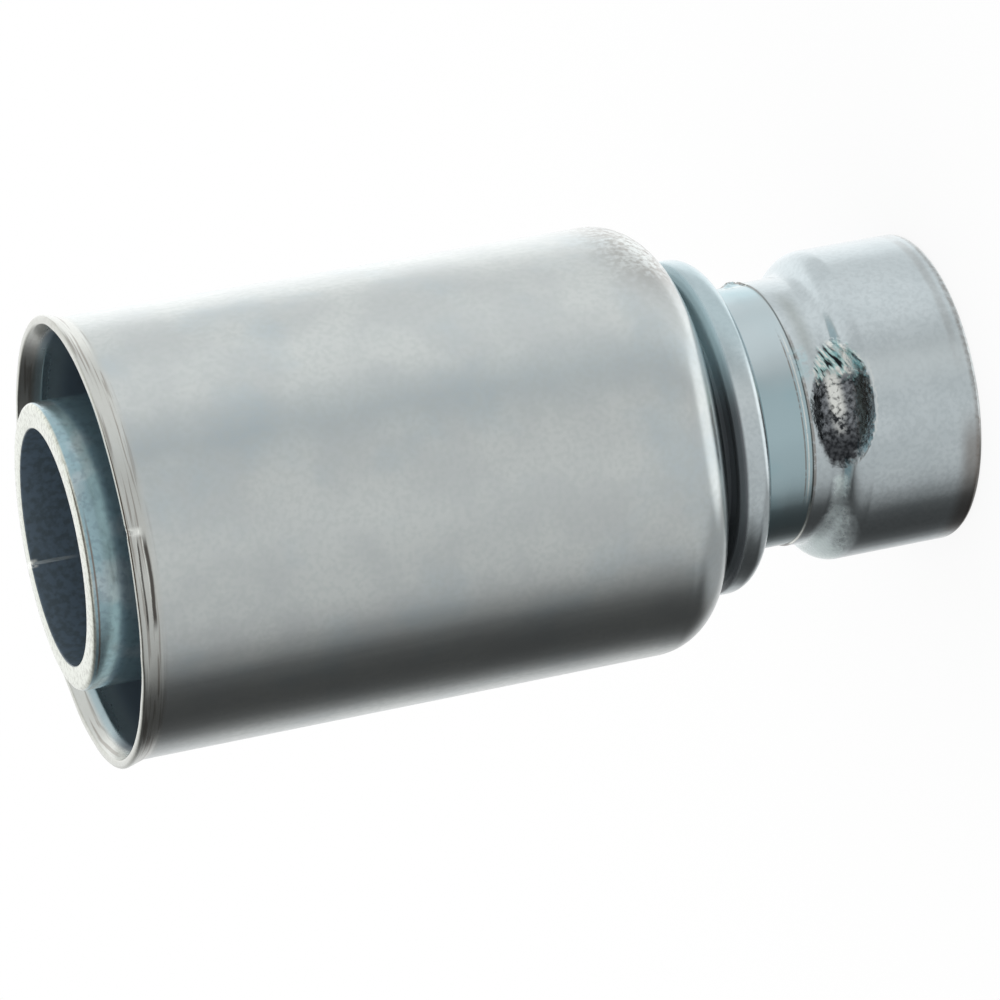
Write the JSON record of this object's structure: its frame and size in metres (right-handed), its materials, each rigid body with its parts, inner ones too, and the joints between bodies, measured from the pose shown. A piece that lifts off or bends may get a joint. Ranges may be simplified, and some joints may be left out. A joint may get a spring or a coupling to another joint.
{
  "type": "weld-on beadlock fitting",
  "caption": "Straight weld-on hose fitting: a barbed steel stem with a collar, a staked shoulder and a weld socket, inside a captive crimp ferrule open at the hose end.",
  "frame": {"origin": "centre of the weld face, the lowest point, on the axis", "axes": "+Z along the fitting from the weld face to the hose nose; the first stake faces 3 degrees off -Y"},
  "size_m": [0.0268, 0.0268, 0.0547],
  "materials": {
    "stem_zinc": "bright zinc plate, satin, light blue-grey",
    "ferrule_zinc": "bright zinc plate, satin, light grey"
  },
  "bodies": {
    "root": {"stem": "stem_zinc", "ferrule": "ferrule_zinc"}
  },
  "joints": []
}
